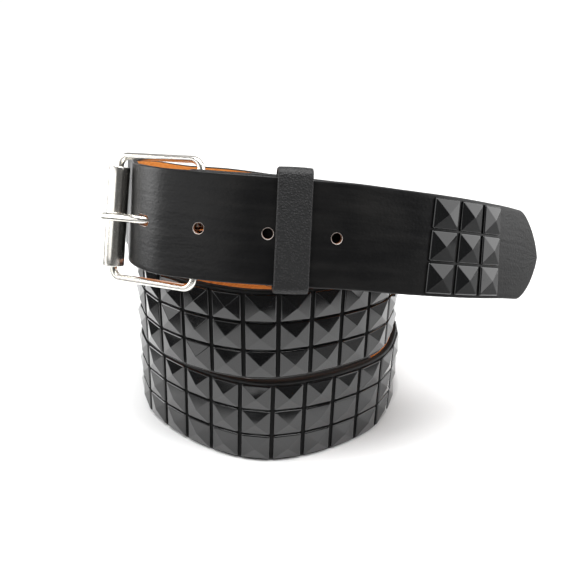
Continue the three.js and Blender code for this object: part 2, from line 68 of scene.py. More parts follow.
# turn in degrees, reach as a share of the coil's radius, lane, under, level as a share of the
# strap's width, and lean
ROUTE = np.array([
    (-110.5, 1.18, 0, 1, 2.755, 1), (-99, 1.155, 0, 1, 2.76, 1), (-89, 1.143, 0, 1, 2.76, 1),
    (-79, 1.15, 0, 1, 2.735, 1), (-66, 1.185, -1, 0, 2.68, 1), (-52, 1.252, -1, 0, 2.58, 1),
    (-36, 1.02, 1, 0, 2.41, 1), (-18, 1.02, 1.1, 0, 2.15, 0.8), (0, 1.01, 1.2, 0, 1.87, 0.5),
    (22, 0.97, 1.7, 0, 1.55, 0.2), (45, 0.94, 2.05, 0, 1.25, 0), (70, 0.93, 2.1, 0, 0.97, 0),
    (95, 0.93, 2.1, 0, 0.73, 0), (120, 0.94, 2, 0, 0.55, 0), (135, 0.95, 1.7, 0, 0.5, 0),
    (150, 0.97, 1.25, 0, 0.5, 0), (165, 0.99, 0.5, 0, 0.5, 0), (180, 1, 0, 0, 0.5, 0),
    (215, 1, 0, 0, 0.5, 0), (270, 1, 0, 0, 0.5, 0), (320, 1.0, 0, 0, 0.5, 0),
    (345, 0.98, 0, 0, 0.5, 0), (360, 0.955, 0, 0, 0.5, 0), (382, 0.92, 0, 0, 0.57, 0),
    (405, 0.895, 0, 0, 0.74, 0), (430, 0.885, 0, 0, 0.95, 0), (455, 0.885, 0, 0, 1.17, 0),
    (480, 0.895, 0, 0, 1.385, 0), (497, 0.915, 0, 0, 1.5, 0), (510, 0.945, 0, 0, 1.535, 0),
    (540, 0.985, 0, 0, 1.55, 0), (585, 1.035, 0, 0, 1.57, 0), (630, 1.058, 0, 0, 1.602, 0),
    (675, 1.03, 0, 0, 1.62, 0), (686, 1.0, 0, 0, 1.627, 0), (705, 0.93, 0, 0, 1.64, 0),
    (725, 0.915, 0.1, 0, 1.665, 0), (742, 0.96, 0.6, 0, 1.71, 0), (765, 0.94, 1, 0, 1.78, 0),
    (790, 0.93, 1.05, 0, 1.85, 0), (815, 0.93, 1.05, 0, 1.94, 0), (840, 0.94, 1.05, 0, 2.05, 0),
    (865, 0.96, 1.08, 0, 2.17, 0.15), (885, 1.085, 0, 0, 2.33, 0.4), (903, 1.087, 0, 0, 2.45, 0.7),
    (912, 1.07, 0, 0, 2.53, 0.8), (920, 1.048, 0, 0, 2.57, 0.9), (934, 1.076, 0, 0, 2.63, 1),
    (945, 1.15, 0, 0, 2.693, 1), (953, 1.19, 0, 0, 2.73, 1), (961, 1.202, 0, 0, 2.752, 1),
    (971, 1.176, 0, 0, 2.767, 1), (981, 1.155, 0, 0, 2.77, 1), (991, 1.143, 0, 0, 2.765, 1),
    (1001, 1.15, 0, 0, 2.748, 1), (1014, 1.185, 0, 0, 2.715, 1), (1028, 1.282, 0, 0, 2.645, 1),
    (1037.4, 1.389, 0, 0, 2.585, 1), (1044.8, 1.479, 0, 0, 2.52, 1), (1051.7, 1.568, 0, 0, 2.443, 1),
    (1058.2, 1.664, 0, 0, 2.358, 1), (1064, 1.77, 0, 0, 2.26, 1), (1070, 1.912, 0, 0, 2.14, 1),
])
TOP_LEAN = np.array([0, 0.295, 0])
TIP_LEAN = np.array([-0.16, 0.24, 0])
TIP_LEAN_TURNS = (1028, 1058)


def smoothstep(value, low, high):
    """Rises from 0 at low to 1 at high as three times the square less twice the cube."""
    share = np.clip((value - low) / (high - low), 0, 1)
    return share * share * (3 - 2 * share)


def unit(vectors):
    """Each vector divided by its own length."""
    return vectors / np.linalg.norm(vectors, axis=-1, keepdims=True)


def catmull(points, steps):
    """A centripetal Catmull-Rom curve: between two points a cubic whose slopes come from the
    neighbours, weighed by the square roots of the gaps, sampled at steps places per gap."""
    padded = np.vstack([2 * points[0] - points[1], points, 2 * points[-1] - points[-2]])
    gap = np.linalg.norm(np.diff(padded, axis=0), axis=1)[:, None] ** 0.5
    x0, x1, x2, x3 = padded[:-3], padded[1:-2], padded[2:-1], padded[3:]
    d0, d1, d2 = gap[:-2], gap[1:-1], gap[2:]
    t1 = ((x1 - x0) / d0 - (x2 - x0) / (d0 + d1) + (x2 - x1) / d1) * d1
    t2 = ((x2 - x1) / d1 - (x3 - x1) / (d1 + d2) + (x3 - x2) / d2) * d1
    place = np.linspace(0, len(points) - 1, steps * (len(points) - 1) + 1)
    row = np.minimum(place.astype(int), len(points) - 2)
    t = (place - row)[:, None]
    square = -3 * x1[row] + 3 * x2[row] - 2 * t1[row] - t2[row]
    cube = 2 * x1[row] - 2 * x2[row] + t1[row] + t2[row]
    return x1[row] + t1[row] * t + square * t ** 2 + cube * t ** 3


def make_line():
    """The strap's centre line: each route row turned into a point at its turn and reach, joined by
    the curve, held at half the strap's width above the floor, with the distance along it."""
    angle = np.radians(ROUTE[:, 0])
    reach = ROUTE[:, 1] * COIL_RADIUS + ROUTE[:, 2] * LANE_STEP - ROUTE[:, 3] * LAYER_STEP
    rows = np.stack([reach * np.cos(angle), reach * np.sin(angle), ROUTE[:, 4] * STRAP_WIDTH], 1)
    points = catmull(rows, LINE_STEPS)
    points[:, 2] = np.maximum(points[:, 2], STRAP_WIDTH / 2)
    place = np.arange(len(points)) / LINE_STEPS
    rank = np.arange(len(rows))
    blend = smoothstep(np.interp(place, rank, ROUTE[:, 0]), *TIP_LEAN_TURNS)[:, None]
    lean = (TOP_LEAN + (TIP_LEAN - TOP_LEAN) * blend) * np.interp(place, rank, ROUTE[:, 5])[:, None]
    along = np.concatenate([[0], np.cumsum(np.linalg.norm(np.diff(points, axis=0), axis=1))])
    return along, points + MIDDLE_SHIFT, lean


LINE_ALONG, LINE_POINTS, LINE_LEAN = make_line()
STRAP_LENGTH = LINE_ALONG[-1]


def frames(along):
    """Points, ways forward, across and out of the line at the given distances: forward from a
    millimetre either side, across the leaning upright made square to it, out their cross product."""
    along = np.atleast_1d(np.asarray(along, float))

    def at(places, table):
        low = np.clip(np.searchsorted(LINE_ALONG, places, side="right") - 1, 0, len(LINE_ALONG) - 2)
        share = (places - LINE_ALONG[low]) / (LINE_ALONG[low + 1] - LINE_ALONG[low])
        return table[low] + (table[low + 1] - table[low]) * share[:, None]

    point = at(along, LINE_POINTS)
    forward = unit(at(along + 1, LINE_POINTS) - at(along - 1, LINE_POINTS))
    upright = at(np.clip(along, 0, STRAP_LENGTH), LINE_LEAN) + np.array([0, 0, 1])
    across = unit(upright - forward * np.sum(upright * forward, axis=1, keepdims=True))
    return point, forward, across, np.cross(forward, across)


def grid_faces(rows, columns):
    """Quads of a grid whose columns close on themselves, wound so that the faces look outwards when
    the columns run clockwise seen along the rows, and the row and column of each of their corners."""
    i, j = np.meshgrid(np.arange(rows - 1), np.arange(columns), indexing="ij")
    row = np.stack([i, i + 1, i + 1, i], -1).reshape(-1, 4)
    column = np.stack([j + 1, j + 1, j, j], -1).reshape(-1, 4)
    return row * columns + column % columns, row, column


def add_piece(name, points, faces, uvs=None, normals=None):
    """A smooth-shaded mesh object from points in millimetres, with corner values as its UV maps."""
    mesh = bpy.data.meshes.new(name)
    mesh.from_pydata((np.asarray(points) * 0.001).tolist(), [], faces)
    for layer, values in (uvs or {}).items():
        mesh.uv_layers.new(name=layer).data.foreach_set("uv", np.asarray(values, np.float32).ravel())
    mesh.polygons.foreach_set("use_smooth", np.ones(len(mesh.polygons), bool))
    if normals is not None:
        mesh.normals_split_custom_set_from_vertices(normals.tolist())
    mesh.validate()
    obj = bpy.data.objects.new(name, mesh)
    bpy.context.scene.collection.objects.link(obj)
    return obj


def band_profile(half_thickness, rounding, lines):
    """A band's cross-section as a closed loop: the share of the half width, the rounding's own
    offsets across and out. Two flats joined by half circles squared off at their middles."""
    turn = np.linspace(0, math.pi / 2, 5)[1:]
    corner = np.stack([np.sin(turn), np.cos(turn)], 1)
    side = half_thickness - rounding
    loop = [(share, 0.0, half_thickness) for share in lines[::-1]]
    loop += [(-1.0, -rounding * s, side + rounding * c) for s, c in corner]
    loop += [(-1.0, -rounding * s, -side - rounding * c) for s, c in corner[::-1]]
    loop += [(share, 0.0, -half_thickness) for share in lines]
    loop += [(1.0, rounding * s, -side - rounding * c) for s, c in corner]
    loop += [(1.0, rounding * s, side + rounding * c) for s, c in corner[::-1]]
    return np.array(loop)


def strap_sections():
    """The strap's sections in order: the flap eased in under the strap, half a turn round the heel
    bar, the line itself, and a tip whose half width falls as a superellipse."""
    low = np.linspace(FLAP_LENGTH, 0, 18)[:-1]
    point, _, across, out = frames(low)
    drop = 2 * BAR_SEAT + (FLAP_REST - 2 * BAR_SEAT) * smoothstep(low, 0, FLAP_TAPER)
    parts = [(point - out * drop[:, None], across, -out, np.full(len(low), STRAP_WIDTH / 2), -low)]
    point, forward, across, out = frames(0)
    angle = np.pi * (1 - np.linspace(0, 1, FOLD_SECTIONS))[:, None]
    way = out * np.cos(angle) - forward * np.sin(angle)
    centre = point - out * BAR_SEAT
    arc = (centre + way * BAR_SEAT, np.repeat(across, FOLD_SECTIONS, 0), way)
    parts.append((*arc, np.full(FOLD_SECTIONS, STRAP_WIDTH / 2), np.linspace(-0.9, 0, FOLD_SECTIONS)))
    body_end = STRAP_LENGTH - TIP_LENGTH
    body = np.linspace(0, body_end, int(body_end / STRAP_STEP))[1:]
    share = 1 - (1 - np.linspace(0, 1, 19)[1:]) ** 1.8
    taper = (1 - share ** TIP_ROUNDNESS) ** (1 / TIP_ROUNDNESS)
    tip_half = np.maximum(STRAP_WIDTH / 2 * taper, STRAP_THICKNESS / 4)
    places = np.concatenate([body, body_end + share * TIP_LENGTH])
    point, _, across, out = frames(places)
    half = np.concatenate([np.full(len(body), STRAP_WIDTH / 2), tip_half])
    parts.append((point, across, out, half, places))
    return [np.concatenate(values) for values in zip(*parts)]


def strap_mesh():
    """Each section's profile laid across and out of it, one grid with a flat face at either end."""
    point, across, out, half, along = strap_sections()
    lines = np.array([-1, -0.94, -0.72, -0.48, -0.24, -0.05, 0.16, 0.4, 0.62, 0.82, 0.94, 1])
    profile = band_profile(STRAP_THICKNESS / 2, STRAP_EDGE_ROUND, lines)
    room = np.minimum(STRAP_EDGE_ROUND, half * 0.9)[:, None]
    offset = profile[None, :, 0] * (half[:, None] - room)
    offset = offset + profile[None, :, 1] * room / STRAP_EDGE_ROUND
    rise = np.repeat(profile[None, :, 2], len(half), 0)
    points = point[:, None] + across[:, None] * offset[..., None] + out[:, None] * rise[..., None]
    rows, columns = offset.shape
    faces, row, column = grid_faces(rows, columns)
    spread = profile[:, 1:] + profile[:, :1] * np.array([[STRAP_WIDTH / 2, 0]])
    around = np.cumsum(np.linalg.norm(np.diff(spread, axis=0), axis=1))
    around = np.concatenate([[0], around, around[-1:]])
    outward = np.append(profile[:, 2], profile[0, 2]) / (STRAP_THICKNESS / 2)
    sheet = np.stack([along[row], around[column]], -1).reshape(-1, 2) * 0.001
    side = np.repeat(outward[column].reshape(-1, 1), 2, 1)
    ends = [list(range(columns))[::-1], list(range((rows - 1) * columns, rows * columns))]
    at_ends = np.zeros((2 * columns, 2))
    uvs = {"sheet": np.vstack([sheet, at_ends]), "side": np.vstack([side, at_ends])}
    return add_piece("leather_strap", points.reshape(-1, 3), faces.tolist() + ends, uvs)


# The round holes, the prong's oblong hole and the slot at the heel bar, each a cutter with a
# flared mouth, so that the punched rims are rounded over as worn ones are
HOLE_PITCH = 25.4
PRONG_HOLE_AT = STRAP_LENGTH - 189.5
HOLE_DROP = 1.0
HOLE_RADIUS = 2.0
PRONG_HOLE_RADIUS = 2.05
PRONG_HOLE_STRETCH = 4.0
SLOT_RADIUS = 2.2
RIM_FLARE = 0.26


def hole_cutter(along, radius, stretch, middle_out, half_depth, flare):
    """A stadium outline swept through the leather: its radius is the hole's, widened by the flare
    at the two faces of the leather, and it runs on past them."""
    point, forward, across, out = frames(along)
    heights = half_depth * np.array([-1.6, -1.0, -0.8, 0.8, 1.0, 1.6])
    widths = radius + flare * np.array([1.6, 1.0, 0, 0, 1.0, 1.6])
    turn = np.radians(np.concatenate([np.linspace(-90, 90, 17), np.linspace(90, 270, 17)]))
    push = np.repeat([stretch / 2, -stretch / 2], 17)
    if stretch == 0:
        turn, push = np.radians(np.linspace(0, 360, 33)[:-1]), np.zeros(32)
    x = push + widths[:, None] * np.cos(turn)
    y = -HOLE_DROP + widths[:, None] * np.sin(turn)
    z = np.repeat((middle_out + heights)[:, None], len(turn), 1)
    points = point + x[..., None] * forward + y[..., None] * across + z[..., None] * out
    rows, columns = x.shape
    faces, row, column = grid_faces(rows, columns)
    level = np.stack([heights[row] / half_depth, np.zeros(row.shape)], -1).reshape(-1, 2)
    ends = [list(range(columns))[::-1], list(range((rows - 1) * columns, rows * columns))]
    return points.reshape(-1, 3), faces.tolist(), level, ends


def apply_boolean(obj, cutter, operation):
    """Cuts or joins two closed meshes for good, keeping UV maps and material slots, and marks the
    edges that turn more than 35 degrees as sharp."""
    step = obj.modifiers.new("cut", "BOOLEAN")
    step.operation = operation
    step.solver = "EXACT"
    step.object = cutter
    step.material_mode = "INDEX"
    bpy.context.view_layer.update()
    graph = bpy.context.evaluated_depsgraph_get()
    done = bpy.data.meshes.new_from_object(
        obj.evaluated_get(graph), preserve_all_data_layers=True, depsgraph=graph)
    obj.modifiers.clear()
    obj.data = done
    bpy.data.objects.remove(cutter)
    done.polygons.foreach_set("use_smooth", np.ones(len(done.polygons), bool))
    done.set_sharp_from_angle(angle=math.radians(35))


def punch_strap(strap):
    """Each cutter subtracted from the strap in turn, its faces keeping the second material slot."""
    half = STRAP_THICKNESS / 2
    cutters = [hole_cutter(PRONG_HOLE_AT + k * HOLE_PITCH, HOLE_RADIUS, 0, 0, half, RIM_FLARE)
               for k in (-1, 1, 2, 3)]
    cutters.append(hole_cutter(PRONG_HOLE_AT, PRONG_HOLE_RADIUS, PRONG_HOLE_STRETCH, 0, half, RIM_FLARE))
    cutters.append(hole_cutter(0, SLOT_RADIUS, 4 * BAR_SEAT, -BAR_SEAT, BAR_SEAT + half + 0.15, 0.0))
    for points, faces, level, ends in cutters:
        flat = np.vstack([level, np.zeros((sum(len(end) for end in ends), 2))])
        cutter = add_piece("punch", points, faces + ends, {"sheet": np.zeros_like(flat), "side": flat})
        for material in strap.data.materials:
            cutter.data.materials.append(material)
        cutter.data.polygons.foreach_set("material_index", np.ones(len(cutter.data.polygons), np.int32))
        apply_boolean(strap, cutter, "DIFFERENCE")


def add_node(tree, kind, inputs=None, **settings):
    """A shader node with its settings, and each input either linked or set to a value."""
    node = tree.nodes.new(kind)
    for key, value in settings.items():
        setattr(node, key, value)
    for key, value in (inputs or {}).items():
        if isinstance(value, bpy.types.NodeSocket):
            tree.links.new(value, node.inputs[key])
        else:
            node.inputs[key].default_value = value
    return node


def math_node(tree, operation, first, second=0.0, third=0.0):
    """The result of one arithmetic step."""
    return add_node(tree, "ShaderNodeMath", {0: first, 1: second, 2: third}, operation=operation).outputs[0]


def ramp(tree, value, low, high, start=0.0, end=1.0):
    """A value carried from the range low..high to the range start..end, and held at its ends."""
    return add_node(tree, "ShaderNodeMapRange", {
        "Value": value, "From Min": low, "From Max": high, "To Min": start, "To Max": end}).outputs[0]


def mix_colour(tree, share, first, second):
    """Two colours mixed by a share."""
    node = add_node(tree, "ShaderNodeMix", data_type="RGBA")
    for socket, value in zip([node.inputs[0], node.inputs[6], node.inputs[7]], [share, first, second]):
        if isinstance(value, bpy.types.NodeSocket):
            tree.links.new(value, socket)
        else:
            socket.default_value = value
    return node.outputs[2]


def noise(tree, vector, scale, detail=3.0, stretch=(1, 1, 1)):
    """Noise on a vector in metres that is first stretched along each axis."""
    mapped = add_node(tree, "ShaderNodeMapping", {"Vector": vector, "Scale": stretch}).outputs[0]
    inputs = {"Vector": mapped, "Scale": scale, "Detail": detail}
    return add_node(tree, "ShaderNodeTexNoise", inputs).outputs[0]


def new_group(name, inputs, outputs):
    """An empty node group with float and vector inputs and float outputs."""
    tree = bpy.data.node_groups.new(name, "ShaderNodeTree")
    for label, kind in inputs:
        tree.interface.new_socket(label, in_out="INPUT", socket_type=kind)
    for label in outputs:
        tree.interface.new_socket(label, in_out="OUTPUT", socket_type="NodeSocketFloat")
    return tree, tree.nodes.new("NodeGroupInput").outputs, tree.nodes.new("NodeGroupOutput")


def leather_grain():
    """A node group with the grain's height and tone: fine pores from cells, creases from noise drawn
    out along the strap, and broad unevenness."""
    tree, given, out = new_group("leather_grain", [
        ("Vector", "NodeSocketVector"), ("Cells", "NodeSocketFloat"), ("Crease", "NodeSocketFloat")],
        ["Height", "Tone"])
    cells = add_node(tree, "ShaderNodeTexVoronoi", {
        "Vector": given["Vector"], "Scale": given["Cells"], "Randomness": 1.0}, feature="SMOOTH_F1")
    pores = ramp(tree, cells.outputs["Distance"], 0.0, 0.6)
    crease = noise(tree, given["Vector"], 300.0, 4.0, (0.12, 1.0, 1.0))
    broad = noise(tree, given["Vector"], 45.0, 3.0)
    drawn = math_node(tree, "MULTIPLY", crease, given["Crease"])
    height = math_node(tree, "ADD", math_node(tree, "MULTIPLY_ADD", pores, -0.35, drawn), broad)
    tree.links.new(height, out.inputs["Height"])
    tone = math_node(tree, "MULTIPLY_ADD", broad, 0.6, math_node(tree, "MULTIPLY", crease, 0.4))
    tree.links.new(tone, out.inputs["Tone"])
    return tree


GRAIN_GROUP = leather_grain()


def new_material(name):
    """An empty material with its output joined to a principled shader."""
    material = bpy.data.materials.new(name)
    material.use_nodes = True
    material.node_tree.nodes.clear()
    shader = material.node_tree.nodes.new("ShaderNodeBsdfPrincipled")
    output = material.node_tree.nodes.new("ShaderNodeOutputMaterial")
    material.node_tree.links.new(shader.outputs[0], output.inputs[0])
    return material, material.node_tree, shader


def feed(tree, shader, **inputs):
    """Links or sets the shader's inputs, with spaces written as underscores."""
    for key, value in inputs.items():
        socket = shader.inputs[key.replace("_", " ")]
        if isinstance(value, bpy.types.NodeSocket):
            tree.links.new(value, socket)
        else:
            socket.default_value = value


def use_group(tree, group, **inputs):
    """A node that uses a group, with its inputs linked or set."""
    node = add_node(tree, "ShaderNodeGroup", node_tree=group)
    feed(tree, node, **inputs)
    return node.outputs


def bump(tree, height, strength, distance):
    """A bumped normal from a height."""
    return add_node(tree, "ShaderNodeBump", {
        "Height": height, "Strength": strength, "Distance": distance}).outputs[0]


def strap_material():
    """Black on the grain side, tan on the flesh side and brown-black between them along the cut
    edge, told apart by the side map, which runs from -1 inside to 1 outside."""
    material, tree, shader = new_material("strap_leather")
    sheet = add_node(tree, "ShaderNodeUVMap", uv_map="sheet").outputs[0]
    side = add_node(tree, "ShaderNodeSeparateXYZ", {
        0: add_node(tree, "ShaderNodeUVMap", uv_map="side").outputs[0]}).outputs
    grain = use_group(tree, GRAIN_GROUP, Vector=sheet, Cells=900.0, Crease=1.6)
    ragged = math_node(tree, "MULTIPLY_ADD", grain["Tone"], 0.5, side[0])
    is_grain = ramp(tree, ragged, 0.72, 0.88)
    is_flesh = ramp(tree, side[0], -0.965, -0.985)
    black = mix_colour(tree, ramp(tree, grain["Tone"], 0.45, 0.75), GRAIN_BLACK, GRAIN_WORN)
    fibre = noise(tree, sheet, 900.0, 5.0, (0.4, 1, 1))
    tan = mix_colour(tree, ramp(tree, fibre, 0.35, 0.7), FLESH_TAN, FLESH_PALE)
    inside = mix_colour(tree, is_flesh, EDGE_BLACK, tan)
    rough_out = ramp(tree, grain["Tone"], 0.3, 0.7, 0.30, 0.42)
    rough = math_node(tree, "MULTIPLY_ADD", is_grain, math_node(tree, "SUBTRACT", rough_out, 0.8), 0.8)
    height = math_node(tree, "ADD", grain["Height"], math_node(tree, "MULTIPLY", fibre, 0.4))
    feed(tree, shader, Base_Color=mix_colour(tree, is_grain, inside, black), Roughness=rough,
         Specular_IOR_Level=0.27, Normal=bump(tree, height, 0.30, 0.0003))
    return material


def hole_material():
    """The punched wall: burnished and paler at the two rims, tan-brown between them."""
    material, tree, shader = new_material("hole_wall")
    side = add_node(tree, "ShaderNodeSeparateXYZ", {
        0: add_node(tree, "ShaderNodeUVMap", uv_map="side").outputs[0]}).outputs
    rim = ramp(tree, math_node(tree, "ABSOLUTE", side[0]), 0.78, 0.9)
    feed(tree, shader, Base_Color=mix_colour(tree, rim, (0.16, 0.055, 0.02, 1), (0.42, 0.38, 0.35, 1)),
         Roughness=ramp(tree, rim, 0, 1, 0.75, 0.35))
    return material


strap = strap_mesh()
strap.data.materials.append(strap_material())
strap.data.materials.append(hole_material())
punch_strap(strap)
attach(strap, "belt")
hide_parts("strap")


# ---------------------------------------------------------------- stud fields
# Pressed square pyramid studs in glossy black enamel, set edge to edge in three rows through the
# leather. Each field is one closed skin: the studs, and the dark floor of the gaps between them.
STUD_SIZE = 12.0
ROW_MIDDLES = np.array([-12.7, 0.0, 12.7])
COLUMN_PITCH = 13.5
STUD_START = 62.8
FIELD_COLUMNS = {"lower": (0, 42), "upper": (42, 43)}
GAP_FLOOR = 1.5
STUD_UNDER = 1.34
# Rings of the stud, from its foot to beside its peak: half size, corner cut, and height
STUD_RINGS = np.array([
    (5.97, 0.40, 1.72), (5.94, 0.45, 2.00), (5.72, 0.46, 2.27), (5.40, 0.40, 2.40),
    (0.45, 0.24, 3.70)])
STUD_PEAK = 3.78
# How far each ring's normals lean out of the stud's plane, in degrees
STUD_LEANS = np.radians([0, 26, 50, 75.3, 75.3])
ENAMEL_BLACK = (0.0055, 0.0057, 0.006, 1)
GAP_BLACK = (0.003, 0.003, 0.003, 1)


def stud_template():
    """Eight points to each ring, two to a side with the corners cut, then the peak: their places
    and normals in the stud's own plane, and the faces that join foot corners, rings and peak."""
    half, cut, height = STUD_RINGS.T[:, :, None]
    sx = np.array([-1, 1, 1, 1, 1, -1, -1, -1])
    sy = np.array([-1, -1, -1, 1, 1, 1, 1, -1])
    on_x = np.array([0, 0, 1, 1, 0, 0, 1, 1])
    x = sx * np.where(on_x, half, half - cut)
    y = sy * np.where(on_x, half - cut, half)
    places = np.stack([x, y, height + 0 * x], -1).reshape(-1, 3)
    flat, lift = np.cos(STUD_LEANS)[:, None], np.sin(STUD_LEANS)[:, None]
    normals = np.stack([sx * on_x * flat, sy * (1 - on_x) * flat, lift + 0 * x], -1).reshape(-1, 3)
    places = np.vstack([places, [0, 0, STUD_PEAK]])
    normals = np.vstack([normals, [0, 0, 1]])
    faces = []
    for side in range(4):
        near, far = side, (side + 1) % 4
        faces.append([near, far, 4 + 2 * side + 1, 4 + 2 * side])
        faces.append([far, 4 + (2 * side + 2) % 8, 4 + 2 * side + 1])
    for ring in range(len(STUD_RINGS) - 1):
        for k in range(8):
            a, b = 4 + 8 * ring + k, 4 + 8 * ring + (k + 1) % 8
            faces.append([a, b, b + 8, a + 8])
    last = 4 + 8 * (len(STUD_RINGS) - 1)
    faces += [[last + k, last + (k + 1) % 8, last + 8] for k in range(8)]
    return places, normals, faces


STUD_PLACES, STUD_NORMALS, STUD_FACES = stud_template()


def lay_studs(starts):
    """The template laid on the chord between the frames at each stud's two edges: a point is the
    share of the way along it, plus its place across and its height. Columns, rows, points."""
    p0, _, a0, o0 = frames(starts)
    p1, _, a1, o1 = frames(starts + STUD_SIZE)
    share = ((STUD_PLACES[:, 0] + STUD_SIZE / 2) / STUD_SIZE)[None, None, :, None]
    over = (ROW_MIDDLES[:, None] + STUD_PLACES[:, 1])[None, :, :, None]
    rise = STUD_PLACES[None, None, :, 2, None]

    def place(point, across, out):
        return point[:, None, None] + across[:, None, None] * over + out[:, None, None] * rise

    points = place(p0, a0, o0) * (1 - share) + place(p1, a1, o1) * share
    forward, across = unit(p1 - p0), unit(a0 + a1)
    out = np.cross(forward, across)
    normals = (STUD_NORMALS[:, 0, None] * forward[:, None] + STUD_NORMALS[:, 1, None] * across[:, None]
               + STUD_NORMALS[:, 2, None] * out[:, None])
    return points, np.repeat(unit(normals)[:, None], 3, 1), (p0, a0, o0), (p1, a1, o1)


def field_mesh(name, first, columns):
    """A grid of foot corners over the whole field, with a stud in every other cell both ways, the
    rest the gaps' floor, the same grid again below as its underside, and walls round the border."""
    starts = STUD_START + COLUMN_PITCH * (first + np.arange(columns))
    points, normals, near, far = lay_studs(starts)
    edges = np.concatenate([ROW_MIDDLES - STUD_SIZE / 2, ROW_MIDDLES + STUD_SIZE / 2])
    edges.sort()
    point, across, out = [np.stack([a, b], 1).reshape(-1, 3) for a, b in zip(near, far)]
    lines = len(point)
    flat = point[:, None] + across[:, None] * edges[None, :, None]
    top = flat + out[:, None] * GAP_FLOOR
    under = flat + out[:, None] * STUD_UNDER
    above = np.repeat(out[:, None], 6, 1)
    vertices = np.vstack([top.reshape(-1, 3), under.reshape(-1, 3), points.reshape(-1, 3)])
    directions = np.vstack([above.reshape(-1, 3), -above.reshape(-1, 3), normals.reshape(-1, 3)])
    below = lines * 6
    grid = np.arange(below).reshape(lines, 6)
    cells = np.stack([grid[:-1, :-1], grid[1:, :-1], grid[1:, 1:], grid[:-1, 1:]], -1)
    is_floor = np.ones(cells.shape[:2], bool)
    is_floor[::2, ::2] = False
    low = np.concatenate([grid[:-1, 0], grid[1:, 5], grid[0, 1:], grid[-1, :-1]])
    high = np.concatenate([grid[1:, 0], grid[:-1, 5], grid[0, :-1], grid[-1, 1:]])
    walls = np.stack([low + below, high + below, high, low], 1)
    underside = cells.reshape(-1, 4)[:, [0, 3, 2, 1]] + below
    faces = np.vstack([cells[is_floor], underside, walls]).tolist()
    own = np.arange(2 * below, len(vertices)).reshape(-1, len(STUD_PLACES))
    corners = np.hstack([cells[::2, ::2].reshape(-1, 4), own])
    for face in STUD_FACES:
        faces += corners[:, face].tolist()
    height = np.concatenate([np.full(lines * 6, GAP_FLOOR), np.full(lines * 6, STUD_UNDER),
                             np.tile(STUD_PLACES[:, 2], columns * 3)])
    level = height[np.concatenate(faces)]
    return add_piece(name, vertices, faces, {"level": np.stack([level, level], 1)}, directions)


def finish_wear():
    """A node group with a used finish: smudges as broad noise, hairline scratches as noise drawn out
    two ways, and the height of a skin that isn't quite flat."""
    tree, given, out = new_group("finish_wear", [("Vector", "NodeSocketVector")],
                                 ["Smudge", "Scratch", "Height"])
    smudge = noise(tree, given["Vector"], 140.0, 4.0)
    one = ramp(tree, noise(tree, given["Vector"], 900.0, 2.0, (0.05, 1, 1)), 0.66, 0.74)
    two = ramp(tree, noise(tree, given["Vector"], 900.0, 2.0, (1, 1, 0.05)), 0.66, 0.74)
    wave = noise(tree, given["Vector"], 90.0, 1.0)
    tree.links.new(ramp(tree, smudge, 0.35, 0.7), out.inputs["Smudge"])
    tree.links.new(math_node(tree, "MAXIMUM", one, two), out.inputs["Scratch"])
    tree.links.new(wave, out.inputs["Height"])
    return tree


WEAR_GROUP = finish_wear()


def enamel_material():
    """Hard glossy black enamel over metal, dulled in the gaps' floor, which the level map tells."""
    material, tree, shader = new_material("black_enamel")
    place = add_node(tree, "ShaderNodeTexCoord").outputs["Object"]
    wear = use_group(tree, WEAR_GROUP, Vector=place)
    level = add_node(tree, "ShaderNodeSeparateXYZ", {
        0: add_node(tree, "ShaderNodeUVMap", uv_map="level").outputs[0]}).outputs[0]
    on_stud = ramp(tree, level, 1.6, 1.9)
    gloss = math_node(tree, "MULTIPLY_ADD", wear["Smudge"], 0.05,
                      math_node(tree, "MULTIPLY_ADD", wear["Scratch"], 0.10, 0.055))
    rough = math_node(tree, "MULTIPLY_ADD", on_stud, math_node(tree, "SUBTRACT", gloss, 0.6), 0.6)
    feed(tree, shader, Base_Color=mix_colour(tree, on_stud, GAP_BLACK, ENAMEL_BLACK), Roughness=rough,
         Coat_Weight=math_node(tree, "MULTIPLY", on_stud, 0.35), Coat_Roughness=0.04,
         Specular_IOR_Level=math_node(tree, "MULTIPLY_ADD", on_stud, 0.33, 0.1),
         Normal=bump(tree, wear["Height"], 0.22, 0.0006))
    return material


ENAMEL = enamel_material()
for part, (first, columns) in FIELD_COLUMNS.items():
    field = field_mesh(f"enamel_studs_{part}", first, columns)
    field.data.materials.append(ENAMEL)
    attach(field, "belt")
    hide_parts(f"stud_field_{part}")


# ---------------------------------------------------------------- tip studs
# The three by three patch near the tip: the same studs, each set by itself, with a flat underside.
TIP_PATCH_REACH = 75.5
FOOT_SHARE = 0.99


def tip_stud_meshes():
    """Nine studs from the template, each with its four foot corners and a face below them."""
    starts = STRAP_LENGTH - TIP_PATCH_REACH + COLUMN_PITCH * np.arange(3)
    points, normals, near, far = lay_studs(starts)
    made = []
    for column in range(3):
        for row in range(3):
            foot = []
            for (point, across, out), sign in [(near, -1), (far, -1), (far, 1), (near, 1)]:
                over = ROW_MIDDLES[row] + sign * STUD_SIZE / 2 * FOOT_SHARE
                foot.append(point[column] + across[column] * over + out[column] * STUD_UNDER)
            vertices = np.vstack([foot, points[column, row]])
            directions = np.vstack([np.tile(-out[column], (4, 1)), normals[column, row]])
            faces = [[3, 2, 1, 0]] + STUD_FACES
            height = np.concatenate([np.full(4, STUD_UNDER), STUD_PLACES[:, 2]])
            level = height[np.concatenate(faces)]
            uvs = {"level": np.stack([level, level], 1)}
            name = f"enamel_tip_stud_{column + 1}_{row + 1}"
            made.append(add_piece(name, vertices, faces, uvs, directions))
    return made


for stud in tip_stud_meshes():
    stud.data.materials.append(ENAMEL)
    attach(stud, "belt")
    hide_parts(stud.name.replace("enamel_", ""))


